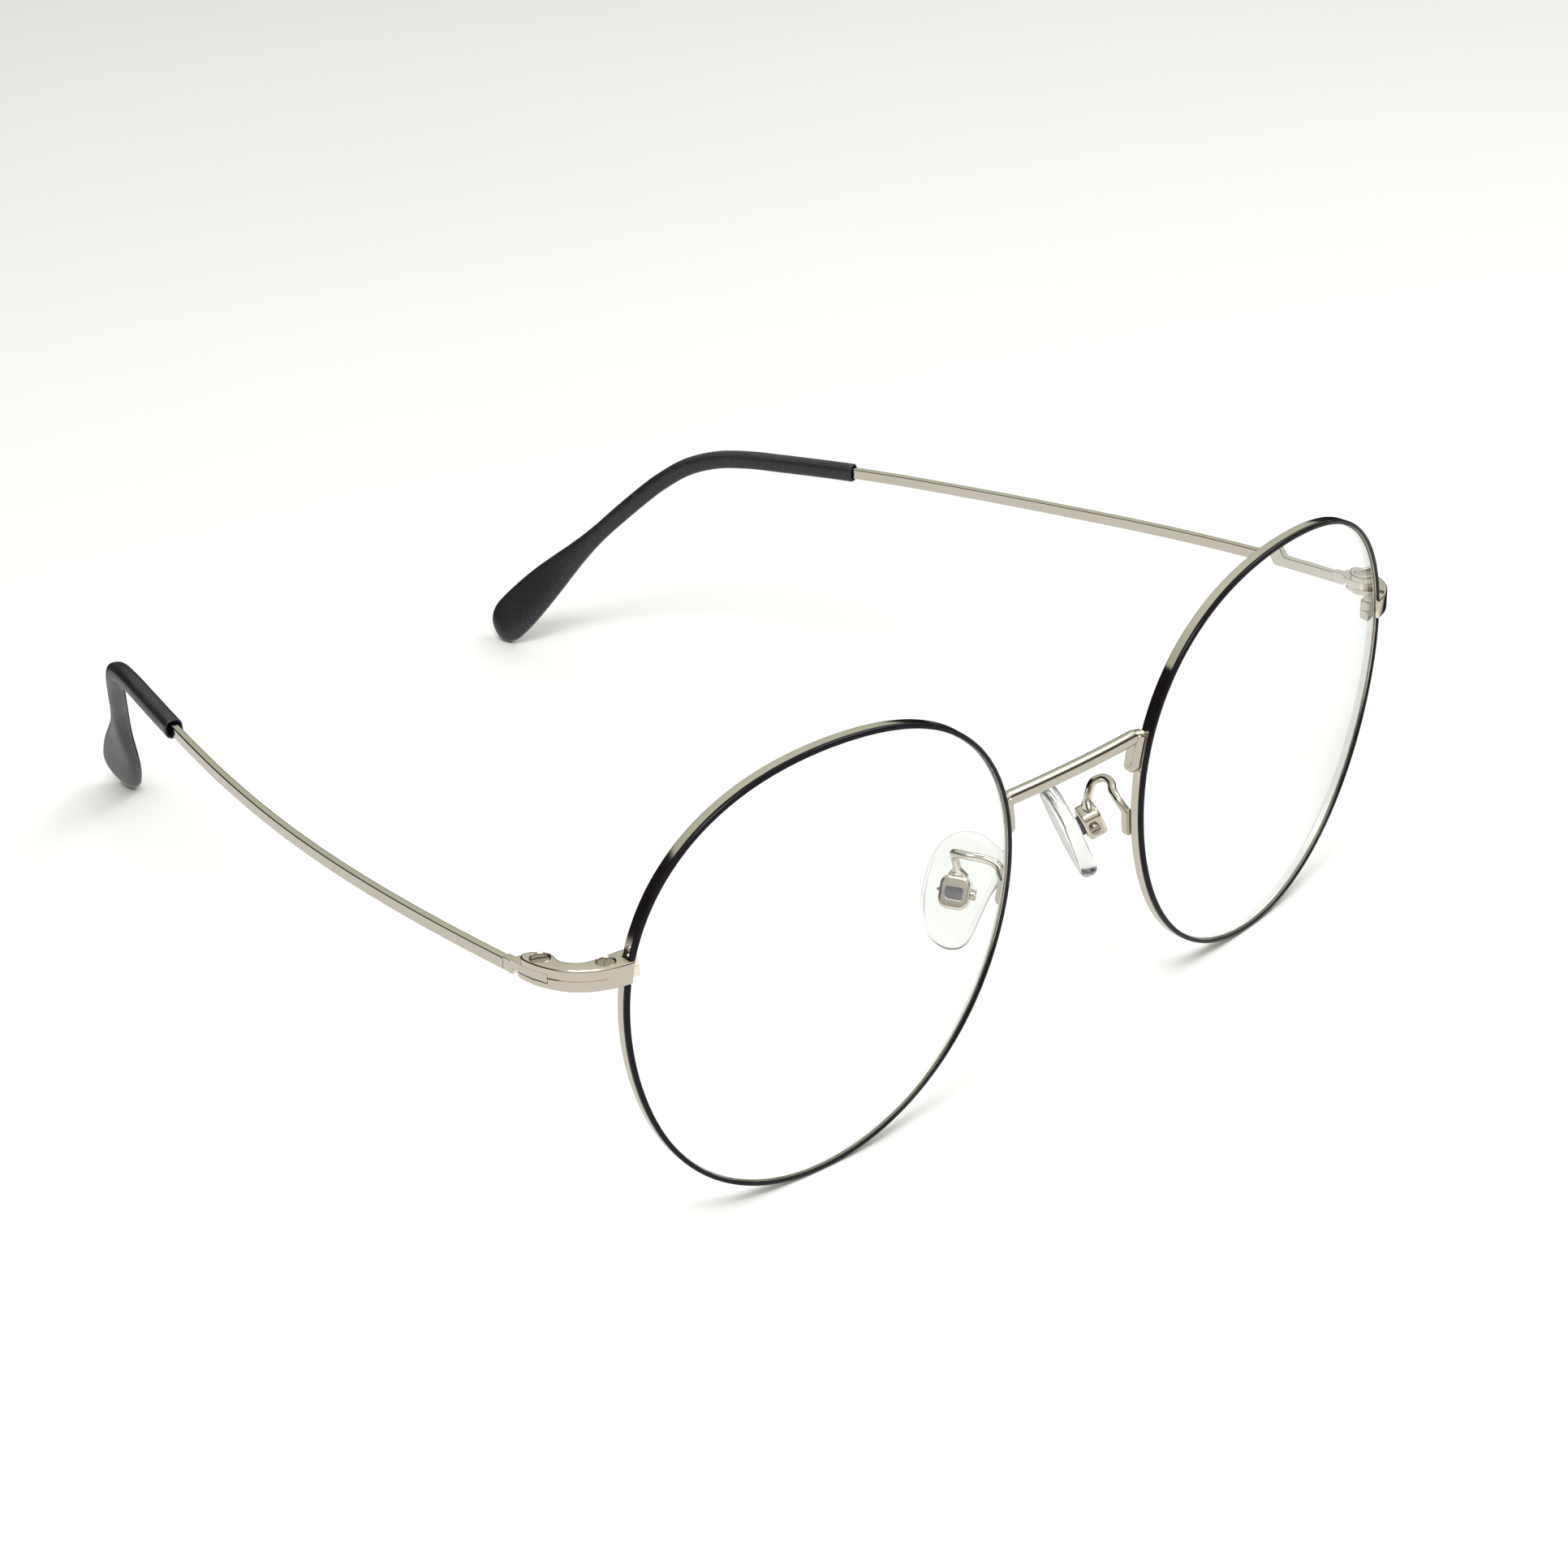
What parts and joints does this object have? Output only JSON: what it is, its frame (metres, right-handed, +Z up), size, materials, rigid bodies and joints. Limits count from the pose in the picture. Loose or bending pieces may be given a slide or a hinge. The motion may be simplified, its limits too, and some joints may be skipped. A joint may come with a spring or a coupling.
{
  "type": "eyeglasses",
  "caption": "Round wire eyeglasses with glossy black rim fronts, polished nickel bridge, end pieces and flat wire temples, dark tip sleeves and clear screw-on nose pads",
  "frame": {"origin": "middle of the bounding box in plan, at the surface the open frame stands on (bottoms of both rims and of both temple tips)", "axes": "+Z up; the front looks along -Y and the temples run back along +Y; +X is the wearer's left"},
  "size_m": [0.1312, 0.1356, 0.0496],
  "materials": {
    "rim_enamel": "gloss",
    "polished_nickel": "polished",
    "screw_steel": "polished",
    "lens": "polished",
    "tip_acetate": "satin",
    "pad_silicone": "satin",
    "pad_mount_plastic": "satin"
  },
  "bodies": {
    "front": {"bridge": "polished_nickel", "left_rim": "rim_enamel", "left_lens": "lens", "left_end_piece": "polished_nickel", "left_rim_lock": "polished_nickel", "left_rim_screw": "screw_steel", "left_hinge_screw": "screw_steel", "left_pad_arm": "polished_nickel", "left_pad_box": "polished_nickel", "left_pad_screw": "screw_steel", "right_rim": "rim_enamel", "right_lens": "lens", "right_end_piece": "polished_nickel", "right_rim_lock": "polished_nickel", "right_rim_screw": "screw_steel", "right_hinge_screw": "screw_steel", "right_pad_arm": "polished_nickel", "right_pad_box": "polished_nickel", "right_pad_screw": "screw_steel"},
    "left_temple": {"left_hinge_tongue": "polished_nickel", "left_temple_wire": "polished_nickel", "left_temple_tip": "tip_acetate"},
    "right_temple": {"right_hinge_tongue": "polished_nickel", "right_temple_wire": "polished_nickel", "right_temple_tip": "tip_acetate"},
    "left_pad": {"left_pad_mount": "pad_mount_plastic", "left_nose_pad": "pad_silicone"},
    "right_pad": {"right_pad_mount": "pad_mount_plastic", "right_nose_pad": "pad_silicone"}
  },
  "joints": [
    {"name": "left_temple_fold", "type": "hinge", "parent": "front", "child": "left_temple", "pos_m": [0.06435, -0.0557, 0.0322], "axis": [0, 0, 1], "range_deg": [0, 76]},
    {"name": "right_temple_fold", "type": "hinge", "parent": "front", "child": "right_temple", "pos_m": [-0.06435, -0.0557, 0.0322], "axis": [0, 0, -1], "range_deg": [0, 70]},
    {"name": "left_pad_rock", "type": "hinge", "parent": "front", "child": "left_pad", "pos_m": [0.0111, -0.05935, 0.02129], "axis": [-0.494, -0.8662, -0.0755], "range_deg": [-8, 8]},
    {"name": "right_pad_rock", "type": "hinge", "parent": "front", "child": "right_pad", "pos_m": [-0.0111, -0.05935, 0.02129], "axis": [-0.494, 0.8662, 0.0755], "range_deg": [-8, 8]}
  ]
}
